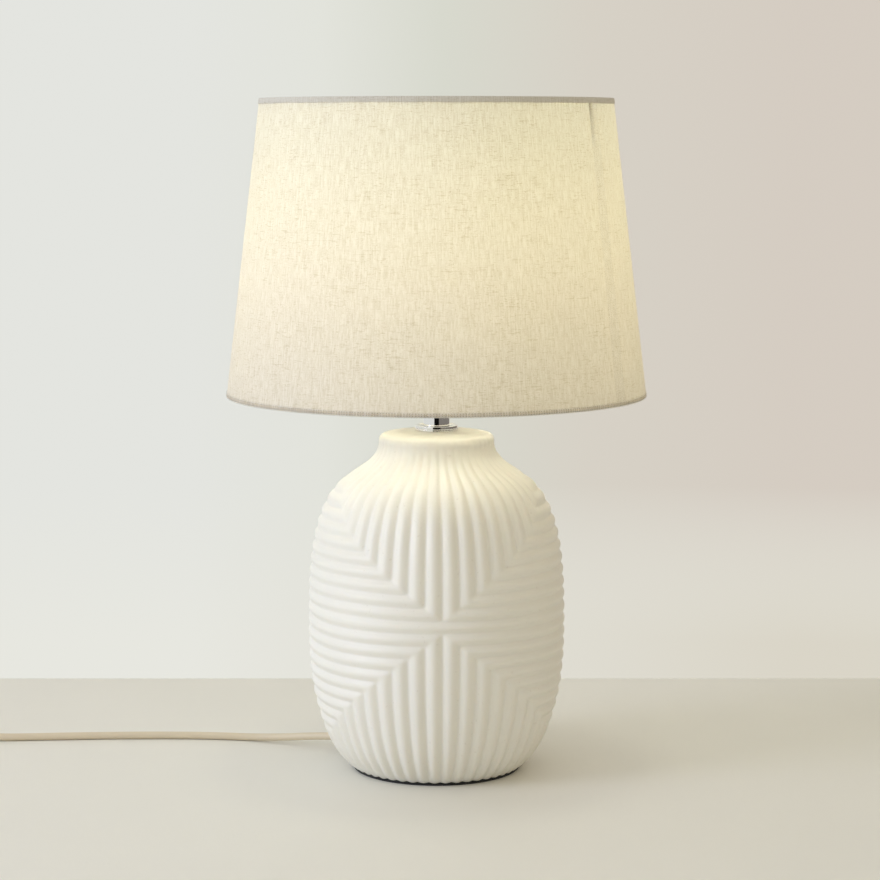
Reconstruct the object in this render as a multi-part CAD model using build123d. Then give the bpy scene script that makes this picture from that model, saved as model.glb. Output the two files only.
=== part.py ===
from build123d import *
import math
import os

# A table lamp: a hollow ceramic base, an E27 lampholder on a threaded tube, a tapered fabric
# shade and a mains cord with an inline switch. Millimetres. +Z is up, the table is Z = 0, the
# lamp stands on the Z axis and -Y is its front. Angles round an axis are in degrees.

# Foot and ceramic body
FELT_RADIUS = 60.0
FELT_TOP = 1.8
WALL = 6.5
# Outer outline of the body, as (radius, height), from the foot to the collar
OUTLINE = [
    (60.6, FELT_TOP),
    (72.7, 14.0),
    (83.1, 36.0),
    (90.1, 66.0),
    (92.4, 115.0),
    (89.0, 165.0),
    (81.0, 192.0),
    (67.6, 210.0),
    (51.6, 221.0),
    (44.4, 228.0),
    (41.2, 236.5),
]
COLLAR_INSIDE = 35.0
COLLAR_ROOF = 238.0
COLLAR_TOP = 245.0
COLLAR_FLAT = 17.0
STEM_HOLE = 5.2

# Neck fittings
TUBE_RADIUS = 4.95
TUBE_BORE = 3.6
TUBE_BOTTOM = 224.0
TUBE_TOP = 268.5
GRIP_BOTTOM = 212.0
GRIP_RADIUS = 7.5
FLANGE_RADIUS = 15.5
FLANGE_HEIGHT = 2.0
SLEEVE_RADIUS = 9.3
HOLDER_BOTTOM = 264.0

# Lampholder
CAP_RADIUS = 22.5
CAP_TOP = 284.0
SHELL_RADIUS = 19.85
SHELL_TOP = 322.0
THREAD_PITCH = 3.6
SCREW_SHELL_RADIUS = 13.6
BLOCK_RADIUS = 15.5
BLOCK_BOTTOM = 274.0
BLOCK_TOP = 288.0
TERMINAL_HEIGHT = 281.0
RING_BOTTOM = 286.3
RING_TOP = 295.0

# Bulb
BULB_THREAD_RADIUS = 12.8
BULB_CAP_BOTTOM = 295.5
BULB_CAP_TOP = 320.0
BULB_RADIUS = 30.0
BULB_CENTRE = 367.0

# Shade, whose outer radius falls evenly from the bottom to the top
SHADE_BOTTOM = 270.5
SHADE_HEIGHT = 210.0
SHADE_TOP = SHADE_BOTTOM + SHADE_HEIGHT
SHADE_BOTTOM_RADIUS = 150.0
SHADE_TOP_RADIUS = 125.0
HEM_SKIN = 0.5
FABRIC_SKIN = 0.6
LINING_SKIN = 0.4
HEM_HEIGHT = 4.0
RING_WIRE = 1.25
HUB_HEIGHT = 284.1
HUB_RADIUS = 24.5
HUB_THICKNESS = 2.0
ARM_WIRE = 1.6
ARM_COUNT = 3
SEAM_AZIMUTH = -32.0
SEAM_ARC = 5.0

# Mains cord and what is on it
CORD_RADIUS = 2.8
RELIEF_LENGTH = 22.0
RELIEF_RADIUS = 5.6
SWITCH_LENGTH = 66.0
SWITCH_WIDTH = 26.0
SWITCH_SPLIT = 7.5
SWITCH_TOP = 15.0
SWITCH_CENTRE = (-398.0, 68.0)
ROCKER_PIVOT = 11.0
ROCKER_TILT = 8.0
ROCKER_WIDTH = 11.2
COIL_CENTRE = (-477.0, 32.6)
COIL_RADIUS = 32.5
BUNDLE_WIDTH = 17.1
BUNDLE_HEIGHT = 16.0
TIE_ANGLE = 300.0
PLUG_REAR = (-456.0, -40.0)
PLUG_THICKNESS = 13.7
PLUG_WIDTH = 35.3
PLUG_LENGTH = 36.0
PLUG_SLEEVE = 16.0
PIN_SPACING = 18.6
PIN_RADIUS = 2.0
PIN_SLEEVE_RADIUS = 1.75
PIN_SLEEVE_LENGTH = 10.0
PIN_LENGTH = 17.2

# Routes of the cord's free stretches, from the body to the plug
ROUTE_TO_SWITCH = [
    (-77.75, 43.1, 10.5),
    (-92.53, 51.29, 8.72),
    (-112.0, 61.0, 5.4),
    (-138.0, 71.0, 2.8),
    (-170.0, 76.2, 2.8),
    (-205.0, 77.6, 2.8),
    (-250.0, 76.6, 2.8),
    (-300.0, 73.0, 2.8),
    (-334.0, 70.0, 2.8),
    (-357.0, 68.0, 7.5),
    (-373.0, 68.0, 7.5),
]
ROUTE_TO_COIL = [
    (-423.0, 68.0, 7.5),
    (-439.0, 68.0, 7.5),
    (-459.0, 68.6, 2.8),
    (-475.0, 68.0, 2.8),
]
ROUTE_TO_PLUG = [
    (-515.3, 32.6, 8.0),
    (-515.0, 12.0, 7.4),
    (-511.5, -10.0, 3.2),
    (-500.0, -28.0, 2.8),
    (-482.0, -38.0, 4.6),
    (-464.0, -40.0, 6.85),
    (-450.0, -40.0, 6.85),
]
# Route inside the body, as (distance towards the exit, distance beside it, height)
ROUTE_INSIDE = [
    (0.0, 0.0, 216.0),
    (-6.0, 3.0, 168.0),
    (-13.0, -2.0, 122.0),
    (-16.0, 2.0, 82.0),
    (-10.0, 0.0, 46.0),
    (8.0, 0.0, 22.5),
    (40.0, 0.0, 15.64),
]

nodes = {}


def lathe(edges, arc=360):
    """Solid of revolution about Z of a closed outline of (radius, height) edges."""
    return revolve(Plane.XZ * make_face(edges), Axis.Z, arc)


def turned(*points, arc=360):
    """Solid of revolution about Z of a polygon of (radius, height) points."""
    return lathe(Polyline(*points, close=True), arc)


def tube(inner, outer, bottom, top):
    return turned((inner, bottom), (outer, bottom), (outer, top), (inner, top))


def disc(radius, bottom, top):
    return Pos(0, 0, (bottom + top) / 2) * Cylinder(radius, top - bottom)


def block(low, high):
    """Box between two corners."""
    size = [b - a for a, b in zip(low, high)]
    centre = [(a + b) / 2 for a, b in zip(low, high)]
    return Pos(*centre) * Box(*size)


def round_bar(start, end, radius):
    axis = Vector(*end) - Vector(*start)
    return Plane(origin=start, z_dir=axis) * (Pos(0, 0, axis.length / 2) * Cylinder(radius, axis.length))


def largest_radii(points):
    """Corner radii that use 0.45 of the shorter run at each corner of a route."""
    runs = [b - a for a, b in zip(points, points[1:])]
    radii = []
    for before, after in zip(runs, runs[1:]):
        half_turn = math.radians(before.get_angle(after)) / 2
        radii.append(0.45 * min(before.length, after.length) / math.tan(half_turn))
    return radii


def cord_along(route, name, radius=CORD_RADIUS):
    """Round cord along straight runs joined by tangent arcs."""
    points = [Vector(p) for p in route]
    radii = largest_radii(points)
    path = FilletPolyline(*points, radius=radii)
    section = Plane(origin=path @ 0, z_dir=path % 0) * Circle(radius)
    solid = sweep(section, path=path)
    expected = math.pi * radius**2 * path.length
    print(name, "length", round(path.length, 1), "radii", [round(r) for r in radii])
    print(name, "volume over section times length", round(solid.volume / expected, 4))
    return solid


def rippled(bottom, top, radius, depth):
    """Outline points of a rolled thread, from the bottom to the top."""
    steps_per_turn = 6
    count = int((top - bottom) / THREAD_PITCH) * steps_per_turn
    points = []
    for i in range(count + 1):
        height = bottom + i * THREAD_PITCH / steps_per_turn
        wave = math.cos(2 * math.pi * i / steps_per_turn)
        points.append((radius - depth * (0.5 - 0.5 * wave), height))
    return points


def shade_radius(height):
    share = (height - SHADE_BOTTOM) / SHADE_HEIGHT
    return SHADE_BOTTOM_RADIUS + share * (SHADE_TOP_RADIUS - SHADE_BOTTOM_RADIUS)


def shade_band(bottom, top, outer_inset, inner_inset, arc=360):
    """Skin of the shade between two heights and two depths below its outer surface."""
    low, high = shade_radius(bottom), shade_radius(top)
    return turned(
        (low - inner_inset, bottom),
        (low - outer_inset, bottom),
        (high - outer_inset, top),
        (high - inner_inset, top),
        arc=arc,
    )


def add_body():
    exit_point = Vector(*ROUTE_TO_SWITCH[0])
    exit_plane = Plane(origin=exit_point, z_dir=Vector(*ROUTE_TO_SWITCH[1]) - exit_point)
    inside = [(r - WALL, z) for r, z in OUTLINE[:9]] + [(37.4, 230.0)]
    edges = Spline(*OUTLINE)
    edges += ThreePointArc(OUTLINE[-1], (40.1, 241.6), (37.0, 243.2))
    edges += ThreePointArc((37.0, 243.2), (28.0, 244.4), (COLLAR_FLAT, COLLAR_TOP))
    edges += Polyline(
        (COLLAR_FLAT, COLLAR_TOP), (STEM_HOLE, COLLAR_TOP), (STEM_HOLE, COLLAR_ROOF),
        (COLLAR_INSIDE, COLLAR_ROOF), inside[-1],
    )
    edges += Spline(*inside)
    edges += Line(inside[0], OUTLINE[0])
    cord_hole = exit_plane * (Pos(0, 0, -30) * Cylinder(RELIEF_RADIUS + 0.1, 40))
    nodes["ceramic_body"] = lathe(edges) - cord_hole
    nodes["base_felt"] = disc(FELT_RADIUS, 0, FELT_TOP)

    # The strain relief's own axis is its Z, which ends where the free cord starts.
    wall_face = -RELIEF_LENGTH
    outline = [(2.85, wall_face - 17), (8.0, wall_face - 17), (8.0, wall_face - 14.5)]
    outline += [(RELIEF_RADIUS, wall_face - 14.5), (RELIEF_RADIUS, wall_face + 4)]
    groove_count = 4
    for i in range(groove_count):
        start = wall_face + 4 + i * 4
        radius = RELIEF_RADIUS - 0.38 * i
        outline += [(radius, start + 2.4), (radius - 0.9, start + 2.8), (radius - 0.9, start + 3.6)]
        outline += [(radius - 0.38, start + 4)]
    outline += [(3.9, -0.6), (3.5, 0), (2.85, 0)]
    nodes["strain_relief"] = exit_plane * turned(*outline)

    away = Vector(exit_point.X, exit_point.Y, 0).normalized()
    beside = Vector(0, 0, 1).cross(away)
    route = [away * u + beside * w + Vector(0, 0, z) for u, w, z in ROUTE_INSIDE]
    nodes["cord_inside"] = cord_along([*route, exit_point], "cord_inside")


def add_neck():
    nodes["threaded_tube"] = tube(TUBE_BORE, TUBE_RADIUS, TUBE_BOTTOM, TUBE_TOP)
    nodes["steel_washer"] = tube(STEM_HOLE, 15, COLLAR_ROOF - 2, COLLAR_ROOF)
    nut = extrude(RegularPolygon(7, 6, major_radius=False), 4) - Cylinder(TUBE_RADIUS + 0.05, 20)
    nodes["hex_nut"] = Pos(0, 0, COLLAR_ROOF - 6) * nut
    grip = tube(CORD_RADIUS + 0.05, GRIP_RADIUS, GRIP_BOTTOM, TUBE_BOTTOM - 0.2)
    slit = block((3.4, -1.6, GRIP_BOTTOM - 1), (GRIP_RADIUS + 1.5, 1.6, GRIP_BOTTOM + 7))
    nodes["cord_grip"] = grip - slit
    top = COLLAR_TOP + FLANGE_HEIGHT
    nodes["flange_lower"] = fillet_outer(tube(STEM_HOLE, FLANGE_RADIUS, COLLAR_TOP, top))
    nodes["flange_upper"] = fillet_outer(tube(STEM_HOLE, FLANGE_RADIUS - 0.5, top, top + FLANGE_HEIGHT))
    nodes["neck_sleeve"] = tube(STEM_HOLE, SLEEVE_RADIUS, top + FLANGE_HEIGHT, HOLDER_BOTTOM)
    wires = []
    for side in (-1, 1):
        bend = TUBE_TOP + 1.7
        route = [(side * 1.3, 0, TUBE_BOTTOM), (side * 1.3, 0, bend), (side * 4.2, 0, bend + 2.9)]
        path = FilletPolyline(*route, radius=3)
        wires.append(sweep(Plane(origin=path @ 0, z_dir=path % 0) * Circle(1.1), path=path))
    nodes["core_wires"] = Compound(children=wires)


def fillet_outer(ring):
    """Rounds the two outer rims of a flange ring."""
    rims = ring.edges().filter_by(GeomType.CIRCLE).sort_by(SortBy.RADIUS)[-2:]
    return fillet(rims, 0.6)


def add_lampholder():
    edges = Polyline((5.1, HOLDER_BOTTOM), (12.5, HOLDER_BOTTOM))
    edges += Spline((12.5, HOLDER_BOTTOM), (19.5, 267.5), (CAP_RADIUS, 275), tangents=[(1, 0), (0, 1)])
    edges += Polyline(
        (CAP_RADIUS, 275), (CAP_RADIUS, CAP_TOP), (SHELL_RADIUS - 1.6, CAP_TOP),
        (SHELL_RADIUS - 1.6, 271), (16, 267.5), (5.1, 267.5), (5.1, HOLDER_BOTTOM),
    )
    nodes["holder_cap"] = lathe(edges)
    inner = SHELL_RADIUS - 1.6
    nodes["holder_shell"] = turned(
        (inner, CAP_TOP), (SHELL_RADIUS, CAP_TOP), (SHELL_RADIUS, 305), (SHELL_RADIUS - 0.9, 306),
        (SHELL_RADIUS - 0.9, SHELL_TOP - 1), (SHELL_RADIUS - 1.9, SHELL_TOP), (15.0, SHELL_TOP),
        (15.0, SHELL_TOP - 2), (inner - 0.9, SHELL_TOP - 3), (inner - 0.9, 306), (inner, 305),
    )
    terminal_block = disc(BLOCK_RADIUS, BLOCK_BOTTOM, BLOCK_TOP)
    screws, screw_holes = [], []
    for side in (-1, 1):
        level = TERMINAL_HEIGHT
        terminal_block -= block((side * 8.5 - 2, -2.6, level - 4), (side * 8.5 + 2, 2.6, level + 5))
        screw_holes.append(round_bar((side * 6, 0, level), (side * 18, 0, level), 1.6))
        shank = round_bar((side * 7, 0, level), (side * 15.6, 0, level), 1.5)
        head = round_bar((side * 15.6, 0, level), (side * 17.6, 0, level), 2.3)
        slot = block((side * 17.3 - 0.4, -3, level - 0.4), (side * 17.3 + 0.4, 3, level + 0.4))
        screws.append(shank + head - slot)
    for hole in screw_holes:
        terminal_block -= hole
    nodes["terminal_block"] = terminal_block
    nodes["terminal_screws"] = Compound(children=screws)
    level = BLOCK_TOP
    strip = Polyline(
        (-10, level), (-4, level), (1, level + 1.9), (4, level + 1.9), (4, level + 2.5),
        (0.9, level + 2.5), (-4.1, level + 0.6), (-10, level + 0.6),
        close=True,
    )
    nodes["centre_contact"] = extrude(Plane.XZ * make_face(strip), 2.5, both=True)
    blade = block((14.15, -2.5, level), (14.75, 2.5, level + 15))
    nodes["side_contact"] = blade + block((11, -2.5, level), (14.75, 2.5, level + 0.6))
    outside = rippled(294, 316, SCREW_SHELL_RADIUS + 0.5, 0.9)
    inside = [(r - 0.5, z) for r, z in outside]
    nodes["screw_shell"] = turned(
        (7, 292), (SCREW_SHELL_RADIUS + 0.5, 292), *outside, *reversed(inside),
        (SCREW_SHELL_RADIUS, 292.5), (7, 292.5),
    )
    ring = turned(
        (SHELL_RADIUS + 0.1, RING_BOTTOM), (26.5, RING_BOTTOM), (26.5, RING_BOTTOM + 2),
        (23.2, RING_BOTTOM + 2.4), (23.0, RING_TOP - 1), (22.0, RING_TOP), (SHELL_RADIUS + 0.1, RING_TOP),
    )
    grip_count = 16
    for i in range(grip_count):
        angle = i * 360 / grip_count
        ring -= Rot(0, 0, angle) * Pos(27.4, 0, RING_BOTTOM + 1) * Cylinder(1.8, 4)
    nodes["shade_ring"] = ring


def add_bulb():
    outside = rippled(BULB_CAP_BOTTOM + 1, BULB_CAP_TOP - 2, BULB_THREAD_RADIUS, 0.9)
    cap_edge = [(11.2, BULB_CAP_BOTTOM), (12.4, BULB_CAP_BOTTOM), *outside]
    cap_edge += [(BULB_THREAD_RADIUS + 0.6, BULB_CAP_TOP - 1.4), (BULB_THREAD_RADIUS + 0.6, BULB_CAP_TOP)]
    nodes["bulb_cap"] = turned(*cap_edge, (11.2, BULB_CAP_TOP))
    nodes["bulb_insulator"] = turned((0, 292.4), (5.5, 292.4), (12.2, 295.5), (0, 295.5))
    tip = Spline((0, 290.9), (3, 291.2), (4.8, 292.4), tangents=[(1, 0), (0.4, 1)])
    nodes["bulb_contact"] = lathe(tip + Polyline((4.8, 292.4), (0, 292.4), (0, 290.9)))

    neck = 13.2
    wall = 1.0
    edge_angle = math.radians(-20)
    side_angle = math.radians(35)
    tangent = (-math.sin(edge_angle), math.cos(edge_angle))

    def glass_outline(inset):
        radius = BULB_RADIUS - inset
        edge = (radius * math.cos(edge_angle), BULB_CENTRE + radius * math.sin(edge_angle))
        side = (radius * math.cos(side_angle), BULB_CENTRE + radius * math.sin(side_angle))
        start = (neck - inset, BULB_CAP_TOP)
        curve = Spline(start, (16.6 - inset, 336), edge, tangents=[(0, 1), tangent])
        return curve + ThreePointArc(edge, side, (0, BULB_CENTRE + radius))

    edges = glass_outline(0) + glass_outline(wall)
    edges += Line((neck, BULB_CAP_TOP), (neck - wall, BULB_CAP_TOP))
    edges += Line((0, BULB_CENTRE + BULB_RADIUS), (0, BULB_CENTRE + BULB_RADIUS - wall))
    nodes["bulb_glass"] = lathe(edges)
    nodes["bulb_stem"] = turned((0, 312), (10, 312), (4, 326), (2.6, 345), (1.2, 372), (0, 372))
    filaments = []
    for i in range(4):
        low = Vector(9.5, 0, 338)
        high = Vector(3.4, 0, 371)
        filaments.append(Rot(0, 0, i * 90 + 45) * round_bar(tuple(low), tuple(high), 1.0))
    nodes["bulb_filaments"] = Compound(children=filaments)


def add_shade():
    fabric_in = HEM_SKIN + FABRIC_SKIN
    lining_in = fabric_in + LINING_SKIN
    low, high = SHADE_BOTTOM + HEM_SKIN, SHADE_TOP - HEM_SKIN
    nodes["shade_fabric"] = shade_band(low, high, HEM_SKIN, fabric_in)
    nodes["shade_lining"] = shade_band(low, high, fabric_in, lining_in)
    hem_depth = 4.2
    bottom_side = shade_band(low, SHADE_BOTTOM + HEM_HEIGHT, 0, HEM_SKIN)
    nodes["bottom_hem"] = bottom_side + shade_band(SHADE_BOTTOM, low, 0, hem_depth)
    top_side = shade_band(SHADE_TOP - HEM_HEIGHT, high, 0, HEM_SKIN)
    nodes["top_hem"] = top_side + shade_band(high, SHADE_TOP, 0, hem_depth)
    seam = shade_band(SHADE_BOTTOM + HEM_HEIGHT, SHADE_TOP - HEM_HEIGHT, 0.05, HEM_SKIN, SEAM_ARC)
    nodes["shade_seam"] = Rot(0, 0, SEAM_AZIMUTH - SEAM_ARC / 2) * seam

    wire_inset = lining_in + RING_WIRE + 0.1
    bottom_wire = low + RING_WIRE + 0.1
    top_wire = high - RING_WIRE - 0.1
    bottom_radius = shade_radius(bottom_wire) - wire_inset
    nodes["bottom_ring"] = Pos(0, 0, bottom_wire) * Torus(bottom_radius, RING_WIRE)
    top_radius = shade_radius(top_wire) - wire_inset
    nodes["top_ring"] = Pos(0, 0, top_wire) * Torus(top_radius, RING_WIRE)
    hub = tube(SHELL_RADIUS + 0.5, HUB_RADIUS, HUB_HEIGHT, HUB_HEIGHT + HUB_THICKNESS)
    nodes["fitter_hub"] = hub
    arms = []
    for i in range(ARM_COUNT):
        start = (HUB_RADIUS + 0.05, 0, HUB_HEIGHT + 0.5)
        bend = (bottom_radius - 26, 0, HUB_HEIGHT + 0.5)
        end = (bottom_radius - RING_WIRE - 0.7, 0, bottom_wire + 1.6)
        path = FilletPolyline(start, bend, end, radius=12)
        arm = sweep(Plane(origin=path @ 0, z_dir=path % 0) * Circle(ARM_WIRE), path=path)
        arms.append(Rot(0, 0, 90 + i * 360 / ARM_COUNT) * arm)
    nodes["fitter_arms"] = Compound(children=arms)


def add_switch():
    """Inline switch, drawn about its own middle and then moved to the cord."""
    place = Pos(*SWITCH_CENTRE, 0)
    half = SWITCH_LENGTH / 2
    wall = 2.0

    def shell_half(bottom, top, roof_edge):
        solid = extrude(Pos(0, 0, bottom) * RectangleRounded(SWITCH_LENGTH, SWITCH_WIDTH, 9), top - bottom)
        rim = solid.faces().sort_by(Axis.Z)[roof_edge].edges()
        return fillet(rim, 2.6)

    cavity = extrude(
        Pos(0, 0, wall) * RectangleRounded(SWITCH_LENGTH - 20, SWITCH_WIDTH - 2 * wall, 5),
        SWITCH_TOP - 2 * wall,
    )
    bore = round_bar((-half - 1, 0, SWITCH_SPLIT), (half + 1, 0, SWITCH_SPLIT), CORD_RADIUS + 0.05)
    window = block((-10.3, -ROCKER_WIDTH / 2 - 0.3, SWITCH_SPLIT), (10.3, ROCKER_WIDTH / 2 + 0.3, SWITCH_TOP + 1))
    screw_places = [(-20, 8.3), (20, -8.3)]
    posts = block((-3, 6.3, 8.4), (3, 8.3, 13.2)) + block((-3, -8.3, 8.4), (3, -6.3, 13.2))
    pin_hole = round_bar((0, -12, ROCKER_PIVOT), (0, 12, ROCKER_PIVOT), 1.0)
    base = shell_half(0, SWITCH_SPLIT, 0) - cavity - bore
    cover = shell_half(SWITCH_SPLIT, SWITCH_TOP, -1) - cavity - bore - window
    cover += posts
    cover -= round_bar((0, -9, ROCKER_PIVOT), (0, 9, ROCKER_PIVOT), 1.02)
    screws = []
    for x, y in screw_places:
        base += Pos(x, y, (wall + SWITCH_SPLIT) / 2) * Cylinder(3, SWITCH_SPLIT - wall)
        roof = SWITCH_TOP - wall
        cover += Pos(x, y, (roof + SWITCH_SPLIT) / 2) * Cylinder(3, roof - SWITCH_SPLIT)
        base -= Pos(x, y, 1) * Cylinder(2.8, 2.4)
        base -= Pos(x, y, SWITCH_SPLIT / 2) * Cylinder(1.5, SWITCH_SPLIT + 1)
        cover -= Pos(x, y, SWITCH_SPLIT + 2) * Cylinder(1.5, 4.1)
        head = Pos(x, y, 1.2) * Cylinder(2.6, 1.6)
        shank = Pos(x, y, 6.5) * Cylinder(1.45, 9)
        slot = block((x - 3, y - 0.4, 0.3), (x + 3, y + 0.4, 1.0))
        screws.append(place * (head + shank - slot))
    nodes["switch_base"] = place * base
    nodes["switch_cover"] = place * cover
    nodes["switch_screws"] = Compound(children=screws)

    end_radius = 9.9
    top_angle, low_angle = math.radians(28), math.radians(-12)
    top_corner = (end_radius * math.cos(top_angle), end_radius * math.sin(top_angle))
    low_corner = (end_radius * math.cos(low_angle), end_radius * math.sin(low_angle))
    edges = ThreePointArc(top_corner, (end_radius, 0), low_corner)
    edges += Polyline(low_corner, (4, -3), (-4, -3), (-low_corner[0], low_corner[1]))
    edges += ThreePointArc((-low_corner[0], low_corner[1]), (-end_radius, 0), (-top_corner[0], top_corner[1]))
    edges += ThreePointArc((-top_corner[0], top_corner[1]), (0, 3.7), top_corner)
    rocker = extrude(Plane.XZ * make_face(edges), ROCKER_WIDTH / 2, both=True)
    rocker -= round_bar((0, -12, 0), (0, 12, 0), 1.06)
    lift = Pos(0, 0, ROCKER_PIVOT)
    nodes["switch_rocker"] = place * lift * Rot(0, ROCKER_TILT, 0) * rocker
    nodes["rocker_pin"] = place * (pin_hole & block((-2, -8.3, 0), (2, 8.3, 20)))

    contacts = []
    for side in (-1, 1):
        foot = block((side * 13 - 6, -3, 2), (side * 13 + 6, 3, 2.8))
        blade = block((side * 8 - 0.4, -3, 2), (side * 8 + 0.4, 3, 6))
        contacts.append(place * (foot + blade))
    nodes["switch_contacts"] = Compound(children=contacts)


def add_coil():
    place = Pos(*COIL_CENTRE, 0)
    section = Pos(COIL_RADIUS, BUNDLE_HEIGHT / 2) * RectangleRounded(BUNDLE_WIDTH, BUNDLE_HEIGHT, 6)
    ring = revolve(Plane.XZ * section, Axis.Z)
    tie_wall = 0.9
    tie_width = 7.0
    outer = RectangleRounded(BUNDLE_WIDTH + 0.8, BUNDLE_HEIGHT + 0.4, 6.2)
    inner = RectangleRounded(BUNDLE_WIDTH + 0.8 - 2 * tie_wall, BUNDLE_HEIGHT + 0.4 - 2 * tie_wall, 5.3)
    band = Pos(COIL_RADIUS, (BUNDLE_HEIGHT + 0.4) / 2) * (outer - inner)
    tie = Rot(0, 0, TIE_ANGLE) * extrude(Plane.XZ * band, tie_width / 2, both=True)
    nodes["cord_coil"] = place * (ring - tie)
    nodes["cord_tie"] = place * tie


def add_plug():
    """Flat two-pin plug lying on the table with its pins along +X."""
    x, y = PLUG_REAR
    middle = PLUG_THICKNESS / 2
    start = x + PLUG_SLEEVE
    front = start + PLUG_LENGTH
    half = PLUG_WIDTH / 2
    outline = Polyline(
        (start, -7.5), (start + 15, -half), (front, -half), (front, half), (start + 15, half), (start, 7.5),
        close=True,
    )
    body = extrude(Pos(0, y, 0) * make_face(outline), PLUG_THICKNESS)
    body = fillet(body.edges().filter_by(Axis.Z), 4)
    body = fillet(body.edges().group_by(Axis.Z)[0] + body.edges().group_by(Axis.Z)[-1], 2.2)
    sleeve = turned((0, 0), (3.9, 0), (5.6, PLUG_SLEEVE + 1), (0, PLUG_SLEEVE + 1))
    body += Plane(origin=(x, y, middle), z_dir=(1, 0, 0)) * sleeve
    body -= round_bar((x - 1, y, middle), (x + 8, y, middle), CORD_RADIUS + 0.05)
    pins = []
    for side in (-1, 1):
        across = y + side * PIN_SPACING / 2
        sleeve_end = (front + PIN_SLEEVE_LENGTH, across, middle)
        insulated = round_bar((front, across, middle), sleeve_end, PIN_SLEEVE_RADIUS)
        bare = round_bar(sleeve_end, (front + PIN_LENGTH, across, middle), PIN_RADIUS)
        tip = Pos(front + PIN_LENGTH, across, middle) * Sphere(PIN_RADIUS)
        pins.append(insulated + bare + tip)
    nodes["plug_body"] = body
    nodes["plug_pins"] = Compound(children=pins)


add_body()
add_neck()
add_lampholder()
add_bulb()
add_shade()
add_switch()
add_coil()
add_plug()
nodes["cord_to_switch"] = cord_along(ROUTE_TO_SWITCH, "cord_to_switch")
nodes["cord_to_coil"] = cord_along(ROUTE_TO_COIL, "cord_to_coil")
nodes["cord_to_plug"] = cord_along(ROUTE_TO_PLUG, "cord_to_plug")

os.makedirs("parts", exist_ok=True)
for name, shape in nodes.items():
    export_step(shape, f"parts/{name}.step")
print(len(nodes), "nodes")
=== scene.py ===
import math

import bpy
import numpy as np
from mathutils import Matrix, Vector
from mathutils.bvhtree import BVHTree


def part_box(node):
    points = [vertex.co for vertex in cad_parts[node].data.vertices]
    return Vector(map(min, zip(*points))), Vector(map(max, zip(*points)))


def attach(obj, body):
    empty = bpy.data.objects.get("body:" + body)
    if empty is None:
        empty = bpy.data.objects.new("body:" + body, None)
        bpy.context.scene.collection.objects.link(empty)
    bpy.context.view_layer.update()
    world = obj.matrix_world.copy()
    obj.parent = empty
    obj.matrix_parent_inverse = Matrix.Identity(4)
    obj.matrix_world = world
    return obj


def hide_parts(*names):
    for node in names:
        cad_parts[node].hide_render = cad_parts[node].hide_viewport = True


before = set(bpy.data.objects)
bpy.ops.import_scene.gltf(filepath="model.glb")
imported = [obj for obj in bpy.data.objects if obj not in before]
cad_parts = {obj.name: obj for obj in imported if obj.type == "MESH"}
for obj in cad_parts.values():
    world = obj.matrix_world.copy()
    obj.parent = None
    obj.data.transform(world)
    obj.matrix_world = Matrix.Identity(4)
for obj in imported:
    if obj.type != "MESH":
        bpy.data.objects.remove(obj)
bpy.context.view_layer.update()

# Looks of a table lamp with a ribbed ceramic body and a linen shade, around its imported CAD
# model. Metres, with +Z up, the table at Z = 0 and the lamp's front towards -Y.
# Azimuths are in degrees from the front towards +X.

# Camera, key light and table
CAMERA_DISTANCE = 1.7773
CAMERA_HEIGHT = 0.4578
CAMERA_SIDE = 0.0025
CAMERA_PITCH = 7.05
CAMERA_LENS = 102.27
SENSOR_WIDTH = 36
KEY_PLACE = (-1.8, -0.8, 0.8)
KEY_TARGET = (0, 0, 0.2)
KEY_SIZE = 0.9
KEY_POWER = 17.0
KEY_COLOUR = (0.72, 0.775, 1.0)
TABLE_BACK = 0.290
TABLE_FRONT = -1.0
TABLE_HALF_WIDTH = 1.2
TABLE_THICKNESS = 0.03

# Colours of the backdrop: across the view from left to right, low down on the left and on the
# right, and the room's colour beyond the view on the right
WALL_COLOURS = [
    (0.00, (0.775, 0.782, 0.745)),
    (0.22, (0.765, 0.772, 0.715)),
    (0.42, (0.685, 0.693, 0.615)),
    (0.66, (0.677, 0.638, 0.565)),
    (1.00, (0.664, 0.606, 0.539)),
]
LOW_LEFT_WALL = (0.80, 0.80, 0.745)
LOW_RIGHT_WALL = (0.70, 0.665, 0.575)
RIGHT_ROOM = (0.66, 0.595, 0.48)
# Where those colours change, as the sideways or the upward part of a direction
ACROSS_VIEW = (-0.1, 0.14)
BEYOND_VIEW = (0.22, 0.6)
TOWARDS_TABLE = (-0.14, -0.20)

# Cards that only mirrors show, for the dark and grey stripes down bright metal: name, tone and
# the line that the card stands on
CARDS = [
    ("dark_card", 0.004, [(-0.86, -2.4), (0.98, -2.4)]),
    ("grey_card", 0.22, [(0.98, -2.4), (2.6, -2.4), (2.6, 5.0)]),
]
CARD_BOTTOM = -0.4
CARD_TOP = 2.6

# Ribs of the ceramic body: nested right angles round a cross on the front and one on the back
CROSS_AZIMUTH = 2.5
UPPER_TIP = 0.1235
LOWER_TIP = 0.1146
RIB_COUNT = 48
RIB_ANGLE = 360 / RIB_COUNT
RIB_RISE = 0.0089
RIB_DEPTH = 0.0022
LEVEL_SHARE = 0.82
RIB_SHARPNESS = 1.25
RIB_CORNER = 0.25
HAND_WOBBLE = 0.05
# Heights between which the ribs get shallower: under the collar, on it, at its rim and towards
# the foot, and the level ribs near the foot
SHOULDER_FADE = (0.178, 0.214)
COLLAR_FADE = (0.214, 0.232)
RIM_FADE = (0.2395, 0.2425)
FOOT_FADE = (0.001, 0.012)
LEVEL_FADE = (0.022, 0.040)

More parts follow.
